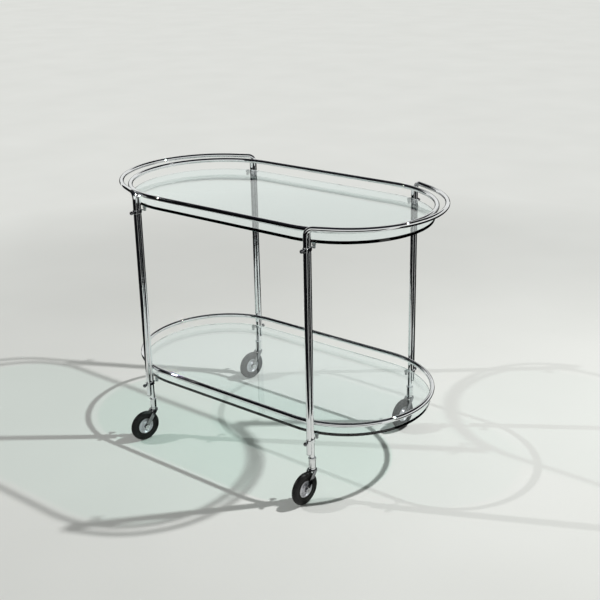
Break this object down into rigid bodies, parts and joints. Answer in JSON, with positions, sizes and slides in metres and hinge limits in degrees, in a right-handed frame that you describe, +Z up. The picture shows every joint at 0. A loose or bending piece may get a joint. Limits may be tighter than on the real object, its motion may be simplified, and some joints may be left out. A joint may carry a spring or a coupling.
{
  "type": "serving cart",
  "caption": "Serving cart with racetrack rings of chromed tube, clear glass shelves, a hoop handle at each end and swivel casters.",
  "frame": {"origin": "on the floor, under the middle of the overall box", "axes": "+X along the cart's length, +Y across it, +Z up"},
  "size_m": [0.9502, 0.5634, 0.713],
  "materials": {
    "tube_chrome": "polished",
    "fitting_chrome": "polished",
    "plug_chrome": "satin",
    "clear_glass": "clear, green at the edge",
    "pad_rubber": "matte",
    "steel": "turned",
    "disc_metal": "satin",
    "tyre_rubber": "matte",
    "bush_plastic": "matte"
  },
  "bodies": {
    "frame": {"top_ring": "tube_chrome", "lower_ring": "tube_chrome", "handle_left": "tube_chrome", "handle_right": "tube_chrome", "top_glass": "clear_glass", "lower_glass": "clear_glass", "handle_plugs": "plug_chrome", "top_straps": "fitting_chrome", "top_bolts": "fitting_chrome", "top_knobs": "fitting_chrome", "top_pads": "pad_rubber", "lower_straps": "fitting_chrome", "lower_bolts": "fitting_chrome", "lower_knobs": "fitting_chrome", "lower_pads": "pad_rubber", "leg_fl": "tube_chrome", "socket_fl": "fitting_chrome", "leg_fr": "tube_chrome", "socket_fr": "fitting_chrome", "leg_bl": "tube_chrome", "socket_bl": "fitting_chrome", "leg_br": "tube_chrome", "socket_br": "fitting_chrome"},
    "swivel_fl": {"stem_fl": "steel", "fork_fl": "fitting_chrome", "axle_fl": "steel", "nuts_fl": "fitting_chrome"},
    "wheel_fl": {"disc_fl": "disc_metal", "tyre_fl": "tyre_rubber", "bush_fl": "bush_plastic"},
    "swivel_fr": {"stem_fr": "steel", "fork_fr": "fitting_chrome", "axle_fr": "steel", "nuts_fr": "fitting_chrome"},
    "wheel_fr": {"disc_fr": "disc_metal", "tyre_fr": "tyre_rubber", "bush_fr": "bush_plastic"},
    "swivel_bl": {"stem_bl": "steel", "fork_bl": "fitting_chrome", "axle_bl": "steel", "nuts_bl": "fitting_chrome"},
    "wheel_bl": {"disc_bl": "disc_metal", "tyre_bl": "tyre_rubber", "bush_bl": "bush_plastic"},
    "swivel_br": {"stem_br": "steel", "fork_br": "fitting_chrome", "axle_br": "steel", "nuts_br": "fitting_chrome"},
    "wheel_br": {"disc_br": "disc_metal", "tyre_br": "tyre_rubber", "bush_br": "bush_plastic"}
  },
  "joints": [
    {"name": "swivel_turn_fl", "type": "hinge", "parent": "frame", "child": "swivel_fl", "pos_m": [-0.2742, -0.2099, 0.084], "axis": [0, 0, 1], "continuous": true},
    {"name": "wheel_roll_fl", "type": "hinge", "parent": "swivel_fl", "child": "wheel_fl", "pos_m": [-0.28197, -0.23888, 0.042], "axis": [-0.9659, 0.2588, 0], "continuous": true},
    {"name": "swivel_turn_fr", "type": "hinge", "parent": "frame", "child": "swivel_fr", "pos_m": [0.2742, -0.2099, 0.084], "axis": [0, 0, 1], "continuous": true},
    {"name": "wheel_roll_fr", "type": "hinge", "parent": "swivel_fr", "child": "wheel_fr", "pos_m": [0.27106, -0.23974, 0.042], "axis": [-0.9945, 0.1045, 0], "continuous": true},
    {"name": "swivel_turn_bl", "type": "hinge", "parent": "frame", "child": "swivel_bl", "pos_m": [-0.2742, 0.2501, 0.084], "axis": [0, 0, 1], "continuous": true},
    {"name": "wheel_roll_bl", "type": "hinge", "parent": "swivel_bl", "child": "wheel_bl", "pos_m": [-0.28044, 0.22075, 0.042], "axis": [-0.9781, 0.2079, 0], "continuous": true},
    {"name": "swivel_turn_br", "type": "hinge", "parent": "frame", "child": "swivel_br", "pos_m": [0.2742, 0.2501, 0.084], "axis": [0, 0, 1], "continuous": true},
    {"name": "wheel_roll_br", "type": "hinge", "parent": "swivel_br", "child": "wheel_br", "pos_m": [0.27003, 0.22039, 0.042], "axis": [-0.9903, 0.1392, 0], "continuous": true}
  ]
}
